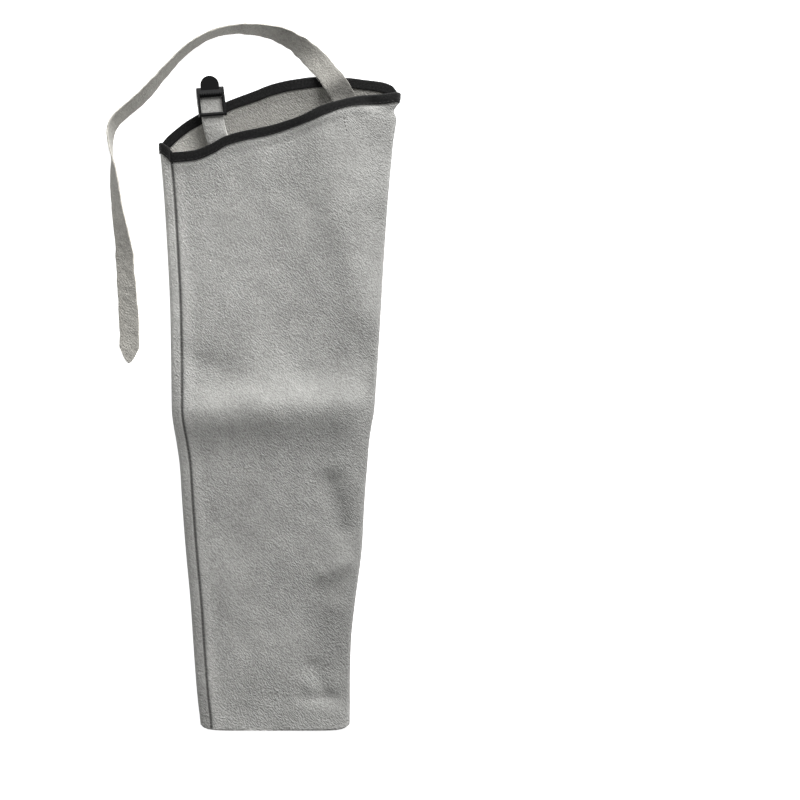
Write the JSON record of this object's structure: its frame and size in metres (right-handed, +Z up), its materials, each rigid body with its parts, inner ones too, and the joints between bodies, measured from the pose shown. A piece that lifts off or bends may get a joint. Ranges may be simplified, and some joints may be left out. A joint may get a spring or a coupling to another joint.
{
  "type": "welding sleeve",
  "caption": "Flat-lying tapered welding sleeve of split leather, open at both ends, with a bound mouth, a long tie strap and a ladder-lock buckle on a leather tab.",
  "frame": {"origin": "on the floor under the middle of the sleeve's flat underside, halfway from the cuff to the mouth", "axes": "+Z up, +Y along the sleeve from the cuff to the mouth, +X across from the sewn side to the folded side"},
  "size_m": [0.2627, 0.6312, 0.029],
  "materials": {
    "split_leather": "grey split suede with a rough nap",
    "binding_tape": "black woven binding tape",
    "buckle_plastic": "black moulded acetal, satin"
  },
  "bodies": {
    "root": {"sleeve_body": "split_leather", "mouth_binding": "binding_tape", "long_strap": "split_leather", "buckle_tab": "split_leather", "ladder_buckle": "buckle_plastic"}
  },
  "joints": []
}
